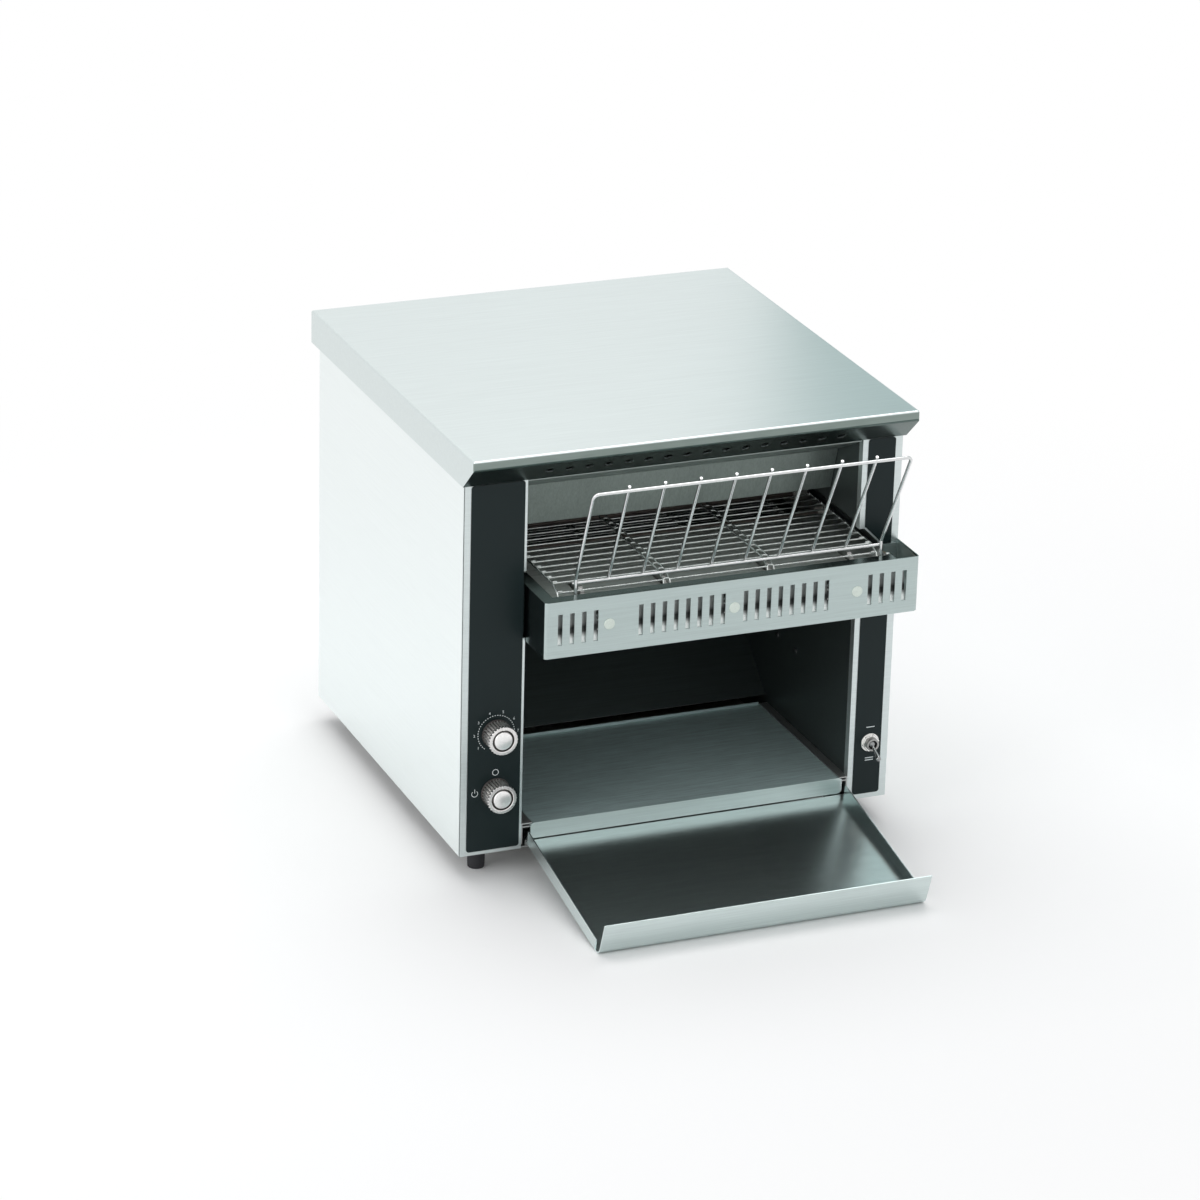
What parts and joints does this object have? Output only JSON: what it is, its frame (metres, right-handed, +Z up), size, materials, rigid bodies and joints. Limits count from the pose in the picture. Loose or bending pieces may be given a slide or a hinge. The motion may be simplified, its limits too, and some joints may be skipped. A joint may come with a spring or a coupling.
{
  "type": "conveyor toaster",
  "caption": "Countertop conveyor toaster: sheet metal body with a hood, wire belt, leaning wire loading rack, slotted shelf bracket, chute, toast deck, sloping front tray and control pillars.",
  "frame": {"origin": "middle of the whole part's box on the counter, under its feet", "axes": "+X to the right as seen by the user, +Y from the front to the back, +Z up"},
  "size_m": [0.415, 0.5818, 0.4002],
  "materials": {
    "stainless": "satin stainless sheet",
    "galvanised": "plain galvanised sheet",
    "black_panel": "dark slate printed panel, satin",
    "dark_wall": "dull grey sheet seen in shade",
    "reflector": "bright reflector sheet",
    "heater_sheath": "oxidised metal sheath",
    "ceramic": "glazed ceramic",
    "bright_wire": "bright stainless wire",
    "shaft_steel": "turned steel",
    "bronze": "sintered bronze",
    "motor_black": "black housing",
    "black_plastic": "moulded plastic, matt",
    "knob_grip": "fluted brown-grey plastic",
    "bright_cap": "bright metal",
    "board_green": "circuit board",
    "foot_rubber": "black rubber"
  },
  "bodies": {
    "housing": {"left_side_panel": "stainless", "right_side_panel": "stainless", "top_cover": "stainless", "rear_panel": "stainless", "base_pan": "galvanised", "left_bezel": "stainless", "right_bezel": "stainless", "left_control_panel": "black_panel", "right_control_panel": "black_panel", "left_chamber_wall": "dark_wall", "right_chamber_wall": "dark_wall", "toast_chute": "dark_wall", "crumb_shield": "galvanised", "reflector_front": "reflector", "reflector_ceiling": "reflector", "heat_shield": "galvanised", "heating_elements": "heater_sheath", "heater_holders": "ceramic", "conveyor_belt": "bright_wire", "conveyor_plates": "galvanised", "belt_support_plate": "dark_wall", "conveyor_spacers": "shaft_steel", "shaft_bearings": "bronze", "drive_chain": "shaft_steel", "gearmotor": "motor_black", "fan_housing": "black_plastic", "fan_guard": "bright_wire", "deck_guides": "galvanised", "shelf_bracket": "stainless", "bracket_rivets": "bright_cap", "rack_clips": "galvanised", "speed_potentiometer": "black_plastic", "rotary_switch": "black_plastic", "toggle_body": "motor_black", "toggle_nut": "bright_cap", "control_board": "board_green", "contactor": "motor_black", "cable_gland": "black_plastic", "feet": "foot_rubber", "foot_screws": "bright_cap", "panel_screws": "bright_cap"},
    "speed_knob": {"speed_knob": "knob_grip", "speed_knob_cap": "bright_cap", "speed_spindle": "shaft_steel"},
    "power_knob": {"power_knob": "knob_grip", "power_knob_cap": "bright_cap", "power_spindle": "shaft_steel"},
    "toggle_lever": {"toggle_lever": "bright_cap"},
    "drive_shaft": {"drive_shaft": "shaft_steel", "drive_sprockets": "shaft_steel", "driven_chain_sprocket": "shaft_steel"},
    "nose_shaft": {"nose_shaft": "shaft_steel", "nose_sprockets": "shaft_steel"},
    "motor_shaft": {"motor_chain_sprocket": "shaft_steel"},
    "fan_rotor": {"fan_rotor": "black_plastic"},
    "wire_rack": {"wire_rack": "bright_wire"},
    "front_tray": {"front_tray": "stainless"},
    "toast_deck": {"toast_deck": "stainless"}
  },
  "joints": [
    {"name": "speed_knob_turn", "type": "hinge", "parent": "housing", "child": "speed_knob", "pos_m": [-0.173, -0.1139, 0.137], "axis": [0, 1, 0], "range_deg": [-140, 140]},
    {"name": "power_knob_turn", "type": "hinge", "parent": "housing", "child": "power_knob", "pos_m": [-0.173, -0.1139, 0.0815], "axis": [0, 1, 0], "range_deg": [-90, 0]},
    {"name": "toggle_flip", "type": "hinge", "parent": "housing", "child": "toggle_lever", "pos_m": [0.187, -0.1081, 0.0776], "axis": [1, 0, 0], "range_deg": [-56, 0]},
    {"name": "drive_shaft_turn", "type": "hinge", "parent": "housing", "child": "drive_shaft", "pos_m": [0, 0.19625, 0.25643], "axis": [1, 0, 0], "continuous": true},
    {"name": "nose_shaft_turn", "type": "hinge", "parent": "housing", "child": "nose_shaft", "pos_m": [0, -0.1149, 0.25643], "axis": [1, 0, 0], "continuous": true},
    {"name": "motor_shaft_turn", "type": "hinge", "parent": "housing", "child": "motor_shaft", "pos_m": [-0.1925, 0.12635, 0.1528], "axis": [1, 0, 0], "continuous": true},
    {"name": "fan_turn", "type": "hinge", "parent": "housing", "child": "fan_rotor", "pos_m": [-0.1, 0.2611, 0.085], "axis": [0, 1, 0], "continuous": true},
    {"name": "wire_rack_lift", "type": "slide", "parent": "housing", "child": "wire_rack", "axis": [0, 0, 1], "range_m": [0, 0.05]},
    {"name": "front_tray_pull", "type": "slide", "parent": "housing", "child": "front_tray", "axis": [0, -1, 0], "range_m": [0, 0.12]},
    {"name": "toast_deck_slide", "type": "slide", "parent": "housing", "child": "toast_deck", "axis": [0, -1, 0], "range_m": [0, 0.15]}
  ],
  "couplings": [
    {"joint": "nose_shaft_turn", "follows": "drive_shaft_turn", "ratio": 1},
    {"joint": "motor_shaft_turn", "follows": "drive_shaft_turn", "ratio": 1}
  ]
}
